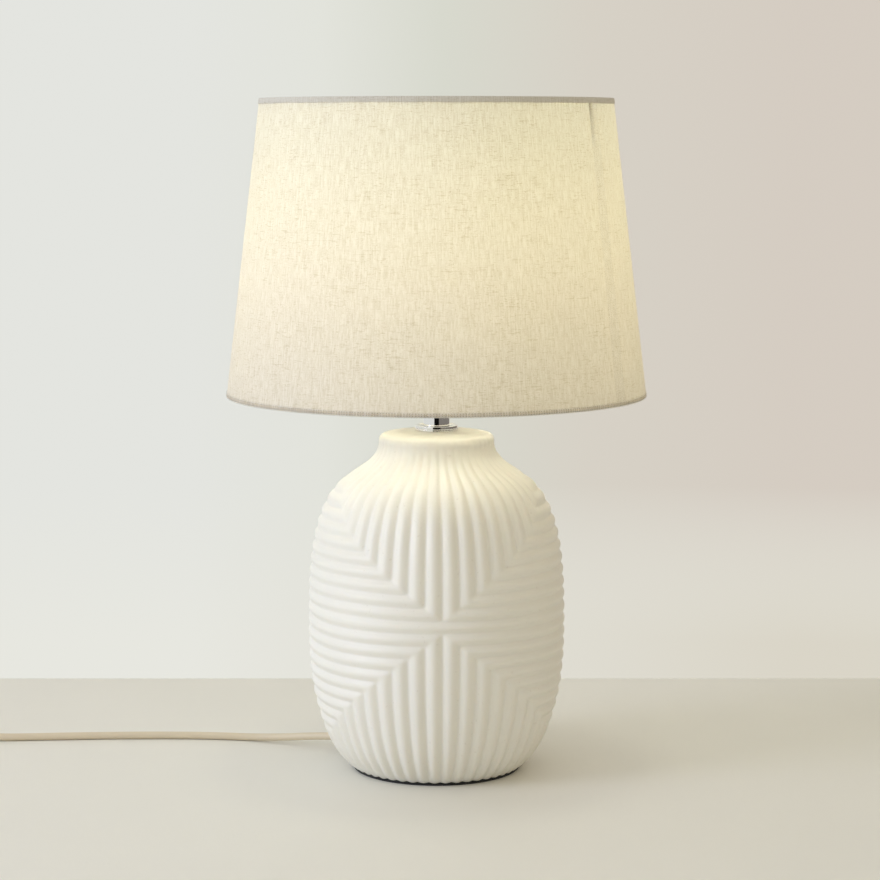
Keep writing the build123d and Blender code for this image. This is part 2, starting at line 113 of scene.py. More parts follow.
# Mesh of the body: columns round it, spacing of its outer rows, and its inner wall
BODY_COLUMNS = RIB_COUNT * 10
BODY_STEP = 0.0008
BODY_WALL = 0.0065
COLLAR_UNDERSIDE = 0.236
INNER_ROW_STEP = 20
STEM_HOLE_RADIUS = 0.0052
STEM_GAP = 0.0003

# Cord: the route's control points and the turns of its coil
CORD_DIAMETER = 0.0056
SHEATH_COLOURS = ((0.62, 0.53, 0.38), (0.68, 0.59, 0.44))
ROUTE_TO_COIL = [
    (-0.07775, 0.0431, 0.0105),
    (-0.09253, 0.05129, 0.00872),
    (-0.112, 0.0610, 0.0054),
    (-0.138, 0.0710, 0.0028),
    (-0.170, 0.0762, 0.0028),
    (-0.205, 0.0776, 0.0028),
    (-0.250, 0.0766, 0.0028),
    (-0.300, 0.0730, 0.0028),
    (-0.334, 0.0700, 0.0028),
    (-0.357, 0.0680, 0.0075),
    (-0.373, 0.0680, 0.0075),
    (-0.423, 0.0680, 0.0075),
    (-0.439, 0.0680, 0.0075),
    (-0.459, 0.0686, 0.0028),
    (-0.475, 0.0680, 0.0028),
]
ROUTE_TO_PLUG = [
    (-0.5153, 0.0326, 0.0080),
    (-0.5150, 0.0120, 0.0074),
    (-0.5115, -0.0100, 0.0032),
    (-0.5000, -0.0280, 0.0028),
    (-0.4820, -0.0380, 0.0046),
    (-0.4640, -0.0400, 0.00685),
    (-0.4500, -0.0400, 0.00685),
]
COIL_CENTRE = (-0.477, 0.0326)
COIL_RADIUS = 0.0325
COIL_START = 90
COIL_END = 2340
COIL_STEP = 18
COIL_STAY = 320
COIL_SHIFT = 60
# Places of the coil's turns in its bundle, as steps outwards and upwards
COIL_PLACES = [(0.5, 0), (-0.5, 0), (-1, 1), (0, 1), (-0.5, 2), (0.5, 2), (1, 1)]
STEP_OUTWARDS = 1.03 * CORD_DIAMETER
STEP_UPWARDS = 0.93 * CORD_DIAMETER

# Shade: its mesh, its sheet, hems and seam, and the azimuth that its map starts from
SHADE_COLUMNS = 288
SHADE_ROWS = 64
CLOTH_THICKNESS = 0.0010
HEM_HEIGHT_ABOVE_CLOTH = 0.0005
HEM_FOLD = 0.0042
HEM_FOLD_THICKNESS = 0.0006
HEM_DROOP = 0.0002
HEM_BULGE = 0.0002
SEAM_THICKNESS = 0.00045
MAP_START = math.radians(55.0)

# Marks on the shade's cloth, in millimetres: the yarn, the stitches and their row's height over
# the lower edge, the heights between which the light through the cloth turns pink, and the
# painted shadow along the seam's edge, which fades round the shade and comes in over a range
# of heights near the top
YARN_PITCH = 0.9
STITCH_PITCH = 1.8
STITCH_HEIGHT = 1.1
STITCH_ROW = 2.2
STITCH_SOFTNESS = 0.6
PINK_HEIGHTS = (460, 350)
SEAM_EDGE_FADE = (2.7, 7.7)
SEAM_SHADOW_HEIGHTS = (446, 478)


def material(name):
    """A new node material and its tree, with only an output in it."""
    made = bpy.data.materials.new(name)
    made.use_nodes = True
    made.node_tree.nodes.clear()
    made.node_tree.nodes.new("ShaderNodeOutputMaterial")
    return made, made.node_tree


def node(tree, kind, inputs=None, **settings):
    """A new node with its settings, and its inputs as values or as sockets to link."""
    made = tree.nodes.new(kind)
    for key, value in settings.items():
        setattr(made, key, value)
    for key, value in (inputs or {}).items():
        if isinstance(value, bpy.types.NodeSocket):
            tree.links.new(value, made.inputs[key])
        else:
            made.inputs[key].default_value = value
    return made


def maths(tree, operation, *values):
    return node(tree, "ShaderNodeMath", dict(enumerate(values)), operation=operation).outputs[0]


def weighted(tree, value, weight):
    return maths(tree, "MULTIPLY", value, weight)


def show(tree, shader):
    output = next(n for n in tree.nodes if n.type == "OUTPUT_MATERIAL")
    tree.links.new(shader, output.inputs["Surface"])


def object_place(tree):
    """The piece's own coordinates."""
    return node(tree, "ShaderNodeTexCoord").outputs["Object"]


def stretched(tree, place, across, up):
    return node(tree, "ShaderNodeMapping", {"Vector": place, "Scale": (across, up, 1)}).outputs[0]


def cloth_place(tree):
    """Places on the unrolled cloth in millimetres, from the piece's own map."""
    coords = node(tree, "ShaderNodeUVMap", uv_map="Cloth").outputs[0]
    return stretched(tree, coords, 1000, 1000)


def noise_at(tree, place, scale, detail=2.0, roughness=0.5):
    inputs = {"Vector": place, "Scale": scale, "Detail": detail, "Roughness": roughness}
    return node(tree, "ShaderNodeTexNoise", inputs).outputs[0]


def remapped(tree, value, low, high, to_low=0.0, to_high=1.0):
    inputs = {"Value": value, "From Min": low, "From Max": high, "To Min": to_low, "To Max": to_high}
    return node(tree, "ShaderNodeMapRange", inputs, clamp=True).outputs[0]


def blended(tree, share, first, second):
    """A colour between two, by a share from 0 to 1."""
    mix = node(tree, "ShaderNodeMix", data_type="RGBA")
    for socket, value in zip((mix.inputs[0], mix.inputs[6], mix.inputs[7]), (share, first, second)):
        if isinstance(value, bpy.types.NodeSocket):
            tree.links.new(value, socket)
        elif isinstance(value, tuple):
            socket.default_value = (*value, 1)
        else:
            socket.default_value = value
    return mix.outputs[2]


def mixed(tree, share, first, second):
    """A shader between two, by a share from 0 to 1."""
    inputs = {0: share, 1: first.outputs[0], 2: second.outputs[0]}
    return node(tree, "ShaderNodeMixShader", inputs)


def bumped(tree, height, distance, strength=1.0):
    inputs = {"Height": height, "Distance": distance, "Strength": strength}
    return node(tree, "ShaderNodeBump", inputs).outputs[0]


def ceramic():
    """Satin white glaze over a fine gritty body, cloudy in tone and with small brown specks."""
    made, tree = material("satin_ceramic")
    place = object_place(tree)
    cloud = noise_at(tree, place, 14, 3, 0.6)
    grit = noise_at(tree, place, 900, 2, 0.6)
    speck = remapped(tree, noise_at(tree, place, 420, 1), 0.70, 0.78)
    colour = blended(tree, cloud, (0.81, 0.79, 0.715), (0.865, 0.845, 0.77))
    colour = blended(tree, weighted(tree, speck, 0.25), colour, (0.62, 0.57, 0.48))
    rough = remapped(tree, cloud, 0.3, 0.7, 0.40, 0.52)
    shader = node(tree, "ShaderNodeBsdfPrincipled", {
        "Base Color": colour,
        "Roughness": rough,
        "Normal": bumped(tree, grit, 0.00012),
        "Subsurface Weight": 0.12,
        "Subsurface Radius": (0.004, 0.003, 0.002),
        "Subsurface Scale": 1.0,
        "Coat Weight": 0.08,
        "Coat Roughness": 0.35,
    })
    show(tree, shader.outputs[0])
    return made


def yarn_noise(tree, millimetres, across, up, detail=1.0, roughness=0.5):
    """Noise with the given scales across and up the cloth, so that it runs along a yarn."""
    return noise_at(tree, stretched(tree, millimetres, across, up), 1, detail, roughness)


def linen_marks(tree, millimetres):
    """How dark the linen's yarn is at each place, and how high it stands."""
    warp = yarn_noise(tree, millimetres, 0.95, 0.10, 3, 0.65)
    broad_warp = yarn_noise(tree, millimetres, 0.35, 0.02, 2)
    yarn = maths(tree, "ADD", weighted(tree, remapped(tree, warp, 0.35, 0.65), 0.46),
                 weighted(tree, remapped(tree, broad_warp, 0.3, 0.7), 0.12))

    slub = remapped(tree, yarn_noise(tree, millimetres, 0.09, 0.85, 2, 0.6), 0.595, 0.67)
    fine = remapped(tree, yarn_noise(tree, millimetres, 0.25, 1.3), 0.625, 0.69)
    fleck = remapped(tree, yarn_noise(tree, millimetres, 0.8, 1.1, 2, 0.7), 0.645, 0.69)
    patches = remapped(tree, noise_at(tree, millimetres, 0.03, 1), 0.35, 0.65, 0.45, 1.0)
    marks = maths(tree, "MAXIMUM", weighted(tree, slub, 0.45), weighted(tree, fleck, 0.8))
    marks = maths(tree, "MAXIMUM", marks, weighted(tree, fine, 0.45))
    marks = maths(tree, "MULTIPLY", marks, patches)

    # Light flecks lie apart from the dark ones, so their noise is moved.
    mapping = {"Vector": millimetres, "Location": (70, 40, 0), "Scale": (0.7, 0.9, 1)}
    light_place = node(tree, "ShaderNodeMapping", mapping).outputs[0]
    light = remapped(tree, noise_at(tree, light_place, 1, 2, 0.7), 0.58, 0.67)
    dark = maths(tree, "ADD", yarn, weighted(tree, marks, 1.1))
    dark = maths(tree, "SUBTRACT", dark, maths(tree, "ADD", weighted(tree, light, 0.5), 0.07))

    parts = node(tree, "ShaderNodeSeparateXYZ", {"Vector": millimetres})
    turn = 2 * math.pi / YARN_PITCH
    up = maths(tree, "SINE", weighted(tree, parts.outputs[0], turn))
    over = maths(tree, "SINE", weighted(tree, parts.outputs[1], turn))
    weave = maths(tree, "MULTIPLY", up, over)
    high = maths(tree, "ADD", weighted(tree, weave, 0.35), maths(tree, "ADD", warp, marks))
    return maths(tree, "MAXIMUM", dark, 0.0), high


def linen(name, tint, through_tint, through, clear=0.0, stitches=0.0, low=0.0, high=1000.0):
    """Slubbed linen on a stiff lining, which lets warm light through.

    A hem is partly clear to the lit cloth under it and has stitches between two heights.
    """
    made, tree = material(name)
    millimetres = cloth_place(tree)
    parts = node(tree, "ShaderNodeSeparateXYZ", {"Vector": millimetres})
    height = parts.outputs[1]
    dark, lift = linen_marks(tree, millimetres)
    clear_share = clear
    if stitches:
        drift = yarn_noise(tree, millimetres, 0.4, 0)
        turns = maths(tree, "ADD", maths(tree, "DIVIDE", parts.outputs[0], STITCH_PITCH), drift)
        wave = maths(tree, "SINE", weighted(tree, turns, 2 * math.pi))
        row = weighted(tree, remapped(tree, height, low, low + STITCH_SOFTNESS),
                       remapped(tree, height, high, high - STITCH_SOFTNESS))
        stitch = maths(tree, "MULTIPLY", remapped(tree, wave, -0.1, 0.6), row)
        dark = maths(tree, "ADD", dark, weighted(tree, stitch, stitches))
        lift = maths(tree, "SUBTRACT", lift, stitch)
        clear_share = weighted(tree, maths(tree, "SUBTRACT", 1.0, stitch), clear)
    normal = bumped(tree, lift, 0.00022, 0.6)
    deep = tuple(c * d for c, d in zip(tint, (0.72, 0.68, 0.58)))
    deep_through = tuple(c * d for c, d in zip(through_tint, (0.66, 0.60, 0.46)))
    pink = tuple(c * d for c, d in zip(through_tint, (0.95, 0.905, 0.91)))
    lit = blended(tree, remapped(tree, height, *PINK_HEIGHTS), through_tint, pink)
    front = node(tree, "ShaderNodeBsdfPrincipled", {
        "Base Color": blended(tree, dark, tint, deep),
        "Roughness": 0.92,
        "Sheen Weight": 0.1,
        "Sheen Roughness": 0.5,
        "Normal": normal,
    })
    back = node(tree, "ShaderNodeBsdfTranslucent", {
        "Color": blended(tree, dark, lit, deep_through),
        "Normal": normal,
    })
    cloth = mixed(tree, through, front, back)
    if clear:
        gaps = node(tree, "ShaderNodeBsdfTransparent", {"Color": (1, 1, 1, 1)})
        cloth = mixed(tree, clear_share, cloth, gaps)
    show(tree, cloth.outputs[0])
    return made


def seam_cloth():
    """The overlap of the shade's side seam: thin cloth, whose edge carries a painted shadow, darkest
    near the top.
    """
    made, tree = material("seam_linen_painted_shadow")
    millimetres = cloth_place(tree)
    dark, high = linen_marks(tree, millimetres)
    parts = node(tree, "ShaderNodeSeparateXYZ", {"Vector": millimetres})
    edge = remapped(tree, parts.outputs[0], *SEAM_EDGE_FADE, 1, 0)
    painted_shadow_near_top = remapped(tree, parts.outputs[1], *SEAM_SHADOW_HEIGHTS)
    line = maths(tree, "MULTIPLY", edge, painted_shadow_near_top)
    colour = blended(tree, dark, (0.80, 0.74, 0.60), (0.60, 0.53, 0.38))
    # Painted shadow: the seam's edge is darkened near the top, fading downwards and away from the edge.
    colour = blended(tree, line, colour, (0.36, 0.29, 0.16))
    cloth = node(tree, "ShaderNodeBsdfPrincipled", {
        "Base Color": colour,
        "Roughness": 0.92,
        "Normal": bumped(tree, high, 0.0002, 0.6),
    })
    gaps = node(tree, "ShaderNodeBsdfTransparent", {"Color": (1, 1, 1, 1)})
    show(tree, mixed(tree, remapped(tree, line, 0, 1, 0.985, 0.72), cloth, gaps).outputs[0])
    return made


def lining():
    """Smooth off-white laminate inside the shade."""
    made, tree = material("shade_lining_film")
    place = cloth_place(tree)
    cloud = noise_at(tree, place, 0.05, 2)
    colour = blended(tree, cloud, (0.86, 0.83, 0.76), (0.90, 0.88, 0.82))
    front = node(tree, "ShaderNodeBsdfPrincipled", {
        "Base Color": colour,
        "Roughness": 0.55,
        "Normal": bumped(tree, noise_at(tree, place, 1.5), 0.0001),
    })
    back = node(tree, "ShaderNodeBsdfTranslucent", {"Color": colour})
    show(tree, mixed(tree, 0.55, front, back).outputs[0])
    return made


def plain(name, colour, other, roughness, scale=300, metallic=0.0, bump=0.00005, **more):
    """A moulded, turned or coated surface: slight colour change, fine texture."""
    made, tree = material(name)
    place = object_place(tree)
    cloud = noise_at(tree, place, scale / 8, 2)
    grain = noise_at(tree, place, scale * 8, 2, 0.6)
    inputs = {
        "Base Color": blended(tree, cloud, colour, other),
        "Roughness": remapped(tree, cloud, 0.2, 0.8, roughness * 0.9, min(1, roughness * 1.15)),
        "Metallic": metallic,
        "Normal": bumped(tree, grain, bump),
    }
    inputs.update(more)
    show(tree, node(tree, "ShaderNodeBsdfPrincipled", inputs).outputs[0])
    return made


def glowing(name, colour, strength):
    """Opal glass lit from inside, brightest at its dome."""
    made, tree = material(name)
    cloud = noise_at(tree, object_place(tree), 60, 2)
    warm = tuple(c * 0.92 for c in colour)
    height = node(tree, "ShaderNodeSeparateXYZ", {
        "Vector": node(tree, "ShaderNodeTexCoord").outputs["Generated"]}).outputs[2]
    shader = node(tree, "ShaderNodeBsdfPrincipled", {
        "Base Color": (0.9, 0.88, 0.84, 1),
        "Roughness": 0.25,
        "Emission Color": blended(tree, cloud, colour, warm),
        "Emission Strength": remapped(tree, height, 0.1, 0.9, strength * 0.45, strength * 1.5),
    })
    show(tree, shader.outputs[0])
    return made


def chrome(name, roughness):
    return plain(name, (0.86, 0.86, 0.87), (0.90, 0.90, 0.90), roughness, 60, 1.0, 0.000002)


def paint(surface, *names):
    """Gives CAD nodes a material through their objects' own slots."""
    for name in names:
        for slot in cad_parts[name].material_slots:
            slot.link = "OBJECT"
            slot.material = surface


def mesh_piece(name, points, faces, body, surfaces):
    """A smooth mesh piece that rides on a body and has a slot's surfaces."""
    mesh = bpy.data.meshes.new(name)
    mesh.from_pydata([tuple(p) for p in points], [], faces)
    mesh.validate()
    mesh.update()
    mesh.shade_smooth()
    piece = bpy.data.objects.new(name, mesh)
    bpy.context.collection.objects.link(piece)
    for surface in surfaces:
        mesh.materials.append(surface)
    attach(piece, body)
    return piece


def lattice(rows, columns):
    """Faces between rows round the lamp's axis, the last row joined to the first.

    They face outwards where the rows rise on the outside.
    """
    faces = []
    for i in range(rows):
        low, high = i * columns, (i + 1) % rows * columns
        for j in range(columns):
            k = (j + 1) % columns
            faces.append((low + j, low + k, high + k, high + j))
    return faces


def ring_points(radii, heights, azimuths):
    """Points of rows round the axis. radii is one for each row or for each point."""
    angle = np.radians(azimuths)
    radii = np.asarray(radii)
    radii = radii[:, None] if radii.ndim == 1 else radii
    heights = np.asarray(heights)
    heights = heights[:, None] if heights.ndim == 1 else heights
    grid = np.stack([radii * np.sin(angle), -radii * np.cos(angle), heights + 0 * angle], axis=-1)
    return grid.reshape(-1, 3)


def set_camera():
    data = bpy.data.cameras.new("camera")
    data.lens = CAMERA_LENS
    data.sensor_width = SENSOR_WIDTH
    camera = bpy.data.objects.new("camera", data)
    camera.location = (CAMERA_SIDE, -CAMERA_DISTANCE, CAMERA_HEIGHT)
    camera.rotation_euler = (math.radians(90 - CAMERA_PITCH), 0, 0)
    bpy.context.collection.objects.link(camera)
    bpy.context.scene.camera = camera


def set_key_light():
    data = bpy.data.lights.new("key_light", "AREA")
    data.shape = "DISK"
    data.size = KEY_SIZE
    data.energy = KEY_POWER
    data.color = KEY_COLOUR
    light = bpy.data.objects.new("key_light", data)
    light.location = KEY_PLACE
    aim = Vector(KEY_TARGET) - Vector(KEY_PLACE)
    light.rotation_euler = aim.to_track_quat("-Z", "Y").to_euler()
    bpy.context.collection.objects.link(light)


def set_world():
    """A pale backdrop colour all round, brighter near the table and warmer to the right."""
    scene = bpy.context.scene
    scene.view_settings.view_transform = "Standard"
    world = bpy.data.worlds.new("studio")
    scene.world = world
    world.use_nodes = True
    tree = world.node_tree
    tree.nodes.clear()
    direction = node(tree, "ShaderNodeTexCoord").outputs["Generated"]
    parts = node(tree, "ShaderNodeSeparateXYZ", {"Vector": direction})
    share = remapped(tree, parts.outputs[0], *ACROSS_VIEW)
    ramp = node(tree, "ShaderNodeValToRGB", {"Fac": share})
    stops = ramp.color_ramp.elements
    while len(stops) < len(WALL_COLOURS):
        stops.new(0.5)
    for stop, (place, colour) in zip(stops, WALL_COLOURS):
        stop.position = place
        stop.color = (*colour, 1)
    near_table = remapped(tree, parts.outputs[2], *TOWARDS_TABLE)
    wall = blended(tree, near_table, ramp.outputs[0], LOW_LEFT_WALL)
    wall = blended(tree, weighted(tree, near_table, share), wall, LOW_RIGHT_WALL)
    wall = blended(tree, remapped(tree, parts.outputs[0], *BEYOND_VIEW), wall, RIGHT_ROOM)
    background = node(tree, "ShaderNodeBackground", {"Color": wall, "Strength": 1.0})
    output = node(tree, "ShaderNodeOutputWorld")
    tree.links.new(background.outputs[0], output.inputs[0])


def make_table():
    made, tree = material("table_paint")
    place = object_place(tree)
    colour = blended(tree, noise_at(tree, place, 4, 3), (0.755, 0.74, 0.67), (0.795, 0.78, 0.715))
    shader = node(tree, "ShaderNodeBsdfPrincipled", {
        "Base Color": colour,
        "Roughness": 0.55,
        "Normal": bumped(tree, noise_at(tree, place, 500), 0.0001),
    })
    show(tree, shader.outputs[0])
    low = (-TABLE_HALF_WIDTH, TABLE_FRONT, -TABLE_THICKNESS)
    high = (TABLE_HALF_WIDTH, TABLE_BACK, 0)
    corners = [(x, y, z) for z in (low[2], high[2]) for y in (low[1], high[1])
               for x in (low[0], high[0])]
    faces = [(0, 2, 3, 1), (4, 5, 7, 6), (0, 1, 5, 4), (2, 6, 7, 3), (0, 4, 6, 2), (1, 3, 7, 5)]
    mesh = bpy.data.meshes.new("table")
    mesh.from_pydata(corners, [], faces)
    mesh.materials.append(made)
    table = bpy.data.objects.new("table", mesh)
    bevel = table.modifiers.new("rounding", "BEVEL")
    bevel.width = 0.002
    bevel.segments = 3
    bpy.context.collection.objects.link(table)


def make_cards():
    for name, tone, line in CARDS:
        made, tree = material(name)
        glow = node(tree, "ShaderNodeEmission", {"Color": (tone, tone * 0.91, tone * 0.80, 1)})
        show(tree, glow.outputs[0])
        mesh = bpy.data.meshes.new(name)
        corners = [(*place, height) for height in (CARD_BOTTOM, CARD_TOP) for place in line]
        count = len(line)
        faces = [(i, i + 1, i + 1 + count, i + count) for i in range(count - 1)]
        mesh.from_pydata(corners, [], faces)
        mesh.materials.append(made)
        card = bpy.data.objects.new(name, mesh)
        card.visible_camera = False
        card.visible_diffuse = False
        card.visible_shadow = False
        card.visible_transmission = False
        bpy.context.collection.objects.link(card)


def body_outline():
    """The CAD body's outer outline as evenly spaced (radius, height) points, from foot to stem hole."""
    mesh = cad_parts["ceramic_body"].data
    skin = BVHTree.FromPolygons([v.co for v in mesh.vertices], [p.vertices for p in mesh.polygons])
    low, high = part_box("ceramic_body")
    clear_of_body = 0.02
    top_rounding = 0.0028
    probe_step = 0.0005
    off_edge = 0.0001
    beside_edges = 1e-5
    found = []
    for height in np.arange(low[2] + off_edge, high[2] - top_rounding, probe_step):
        start = Vector((high[0] + clear_of_body, beside_edges, height))
        hit = skin.ray_cast(start, Vector((-1, 0, 0)))[0]
        found.append((hit.x, hit.z))
    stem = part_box("threaded_tube")[1][0] + STEM_GAP
    for radius in np.arange(found[-1][0] - 0.0003, stem, -probe_step):
        start = Vector((radius, beside_edges, high[2] + clear_of_body))
        hit = skin.ray_cast(start, Vector((0, 0, -1)))[0]
        found.append((hit.x, hit.z))
    found = np.array(found)
    run = np.concatenate([[0], np.cumsum(np.linalg.norm(np.diff(found, axis=0), axis=1))])
    even = np.linspace(0, run[-1], int(run[-1] / BODY_STEP))
    return np.stack([np.interp(even, run, found[:, i]) for i in (0, 1)], axis=1)


def smooth_step(value, low, high):
    share = np.clip((value - low) / (high - low), 0, 1)
    return share * share * (3 - 2 * share)


def rib_depth(azimuths, heights):
    """How far each point of the body lies under the crests of the ribs."""
    off_front = np.abs((azimuths - CROSS_AZIMUTH + 180) % 360 - 180)
    wobble = HAND_WOBBLE * np.sin(np.radians(3 * azimuths + 40))
    upright = np.minimum(off_front, 180 - off_front)[None, :] / RIB_ANGLE + 0 * heights[:, None]
    off_tips = np.maximum(heights - UPPER_TIP, LOWER_TIP - heights)
    level = off_tips[:, None] / RIB_RISE + wobble[None, :]
    share = np.clip(0.5 + (level - upright) / (2 * RIB_CORNER), 0, 1)
    steps = level * (1 - share) + upright * share - RIB_CORNER * share * (1 - share)
    ridge = np.abs(np.sin(np.pi * steps)) ** RIB_SHARPNESS
    shoulder_loss = 0.62 * smooth_step(heights, *SHOULDER_FADE)
    collar_loss = 0.22 * smooth_step(heights, *COLLAR_FADE)
    high_fade = (1 - shoulder_loss - collar_loss) * (1 - smooth_step(heights, *RIM_FADE))
    foot_fade = 0.35 + 0.65 * smooth_step(heights, *FOOT_FADE)
    level_fade = smooth_step(heights, *LEVEL_FADE)
    direction_share = share + (1 - share) * LEVEL_SHARE * level_fade[:, None]
    amount = (high_fade * foot_fade)[:, None] * direction_share
    return RIB_DEPTH * amount * (1 - ridge)


def make_body():
    outline = body_outline()
    azimuths = CROSS_AZIMUTH + np.arange(BODY_COLUMNS) * 360 / BODY_COLUMNS
    along = np.gradient(outline, axis=0)
    along /= np.linalg.norm(along, axis=1, keepdims=True)
    outward = np.stack([along[:, 1], -along[:, 0]], axis=1)
    depth = rib_depth(azimuths, outline[:, 1])
    radii = outline[:, :1] - outward[:, :1] * depth
    heights = outline[:, 1:] - outward[:, 1:] * depth
    outer = ring_points(radii, heights, azimuths)
    inside = outline[outline[:, 1] < COLLAR_UNDERSIDE][::-INNER_ROW_STEP]
    inner_radii = np.maximum(inside[:, 0] - BODY_WALL, STEM_HOLE_RADIUS)
    inner = ring_points(inner_radii, inside[:, 1], azimuths)
    faces = lattice(len(outline) + len(inside), BODY_COLUMNS)
    points = np.concatenate([outer, inner])
    piece = mesh_piece("ribbed_body", points, faces, "root", [ceramic()])
    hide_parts("ceramic_body")


def make_flanges():
    """The two stacked rings under the neck, with straight sides and small rounded rims."""
    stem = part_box("threaded_tube")[1][0] + STEM_GAP
    surface = chrome("polished_rings", 0.1)
    columns = 128
    azimuths = np.arange(columns) * 360 / columns
    rim = 0.00025
    for name in ("flange_lower", "flange_upper"):
        low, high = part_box(name)
        radius = high[0]
        turns = [math.radians(a) for a in (0, 22.5, 45, 67.5, 90)]
        corner = [(rim * math.sin(a), rim * (1 - math.cos(a))) for a in turns]
        outline = [(stem, low[2]), (radius - 2 * rim, low[2])]
        outline += [(radius - rim + out, low[2] + up) for out, up in corner]
        outline += [(radius, low[2] + 1.3 * rim), (radius, high[2] - 1.3 * rim)]
        outline += [(radius - rim + out, high[2] - up) for out, up in corner[::-1]]
        outline += [(radius - 2 * rim, high[2]), (stem, high[2])]
        outline = np.array(outline)
        points = ring_points(outline[:, 0], outline[:, 1], azimuths)
        faces = lattice(len(outline), columns)
        ring = mesh_piece(f"turned_{name}", points, faces, "root", [surface])
        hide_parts(name)


def cloth_map(piece, radius):
    """A map of the unrolled cloth, in metres: distance round the shade and height."""
    mesh = piece.data
    layer = mesh.uv_layers.new(name="Cloth")
    corners = np.empty(len(mesh.loops), np.int32)
    mesh.loops.foreach_get("vertex_index", corners)
    places = np.empty(len(mesh.vertices) * 3, np.float32)
    mesh.vertices.foreach_get("co", places)
    places = places.reshape(-1, 3)[corners]
    angle = np.arctan2(places[:, 0], -places[:, 1]) - MAP_START
    angle = angle % (2 * math.pi)
    # A face across the seam keeps its corners together.
    faces = [(p.loop_start, p.loop_total) for p in mesh.polygons]
    starts = np.array([s for s, _ in faces])
    counts = np.array([c for _, c in faces])
    owner = np.repeat(np.arange(len(faces)), counts)
    highest = np.maximum.reduceat(angle, starts)
    angle = np.where(highest[owner] - angle > math.pi, angle + 2 * math.pi, angle)
    values = np.stack([angle * radius, places[:, 2]], axis=1).astype(np.float32)
    layer.data.foreach_set("uv", values.ravel())


def shade_radius(height):
    """Outer radius of the shade at a height, from the hems of the CAD model."""
    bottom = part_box("bottom_hem")
    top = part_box("top_hem")
    slope = (bottom[1][0] - top[1][0]) / (top[0][2] - bottom[0][2])
    return bottom[1][0] - slope * (height - bottom[0][2])


def make_seam():
    """Lapped strip of the side seam, with soft edges, over the CAD model's own strip."""
    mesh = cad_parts["shade_seam"].data
    turns = [math.degrees(math.atan2(v.co.x, -v.co.y)) for v in mesh.vertices]
    low, high = (corner[2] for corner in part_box("shade_seam"))
    columns, rows = 14, 90
    azimuths = np.linspace(min(turns), max(turns), columns)
    edge = np.minimum(np.arange(columns), np.arange(columns)[::-1]) / 2
    lift = SEAM_THICKNESS * np.clip(edge, 0.25, 1) ** 0.5
    heights = np.linspace(low, high, rows)
    base = np.array([shade_radius(h) - HEM_HEIGHT_ABOVE_CLOTH for h in heights])
    outer = ring_points(base[:, None] + lift[None, :], heights, azimuths)
    inner = ring_points(base[::-1], heights[::-1], azimuths)
    faces = []
    for i in range(2 * rows):
        below, above = i * columns, (i + 1) % (2 * rows) * columns
        faces += [(below + j, below + j + 1, above + j + 1, above + j) for j in range(columns - 1)]
    for side in (0, columns - 1):
        for i in range(rows - 1):
            front = [i * columns + side, (i + 1) * columns + side]
            back = [(2 * rows - 2 - i) * columns + side, (2 * rows - 1 - i) * columns + side]
            face = (front[0], front[1], back[0], back[1])
            faces.append(face if side == 0 else face[::-1])
    points = np.concatenate([outer, inner])
    seam = mesh_piece("lapped_seam", points, faces, "shade", [seam_cloth()])
    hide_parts("shade_seam")
    return seam


def hem_outline(name, inward):
    """Closed section of a hem as (radius, height) points. inward is 1 at the top and -1 below."""
    low, high = (corner[2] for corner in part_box(name))
    outside = []
    for share in np.arange(11) / 10:
        height = low + share * (high - low)
        outside.append((shade_radius(height) + HEM_BULGE * math.sin(math.pi * share) - 0.0001, height))
    over = high if inward > 0 else low
    under = over - inward * HEM_FOLD_THICKNESS
    radius = shade_radius(over)
    fold = [
        (radius - HEM_FOLD * 0.5, over),
        (radius - HEM_FOLD, over - inward * HEM_DROOP),
        (radius - HEM_FOLD, under - inward * HEM_DROOP),
        (radius - HEM_FOLD * 0.5, under),
    ]
    if inward > 0:
        return np.array(outside + fold + [(outside[0][0] - HEM_HEIGHT_ABOVE_CLOTH, low)])
    return np.array(outside + [(outside[-1][0] - HEM_HEIGHT_ABOVE_CLOTH, high)] + fold[::-1])


def make_shade():
    """The cloth laminated to its lining as one closed sheet, its two hems and its seam."""
    low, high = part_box("shade_fabric")[0][2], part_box("shade_fabric")[1][2]
    azimuths = np.arange(SHADE_COLUMNS) * 360 / SHADE_COLUMNS
    heights = np.linspace(low, high, SHADE_ROWS)
    radii = np.array([shade_radius(h) - HEM_HEIGHT_ABOVE_CLOTH for h in heights])
    outer = ring_points(radii, heights, azimuths)
    inner = ring_points(radii[::-1] - CLOTH_THICKNESS, heights[::-1], azimuths)
    points = np.concatenate([outer, inner])
    faces = lattice(2 * SHADE_ROWS, SHADE_COLUMNS)
    surfaces = [linen("shade_linen", (0.88, 0.885, 0.94), (0.965, 0.932, 0.71), 0.51), lining()]
    shade = mesh_piece("shade_cloth", points, faces, "shade", surfaces)
    for polygon in shade.data.polygons:
        polygon.material_index = 0 if polygon.index < (SHADE_ROWS - 1) * SHADE_COLUMNS else 1
    middle = shade_radius((low + high) / 2)
    cloth_map(shade, middle)
    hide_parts("shade_fabric", "shade_lining")

    top_cloth = linen("hem_linen", (0.77, 0.735, 0.66), (0.66, 0.55, 0.37), 0.12, stitches=0.15)
    stitch_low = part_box("bottom_hem")[0][2] * 1000 + STITCH_HEIGHT
    bottom_cloth = linen("bottom_hem_linen", (0.90, 0.88, 0.88), (0.95, 0.88, 0.68), 0.45, clear=0.93,
                         stitches=0.45, low=stitch_low, high=stitch_low + STITCH_ROW)
    for name, inward, hem_cloth in (("top_hem", 1, top_cloth), ("bottom_hem", -1, bottom_cloth)):
        outline = hem_outline(name, inward)
        points = ring_points(outline[:, 0], outline[:, 1], azimuths)
        faces = lattice(len(outline), SHADE_COLUMNS)
        hem = mesh_piece(f"rolled_{name}", points, faces, "shade", [hem_cloth])
        cloth_map(hem, middle)
        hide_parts(name)
    seam = make_seam()
    cloth_map(seam, middle)


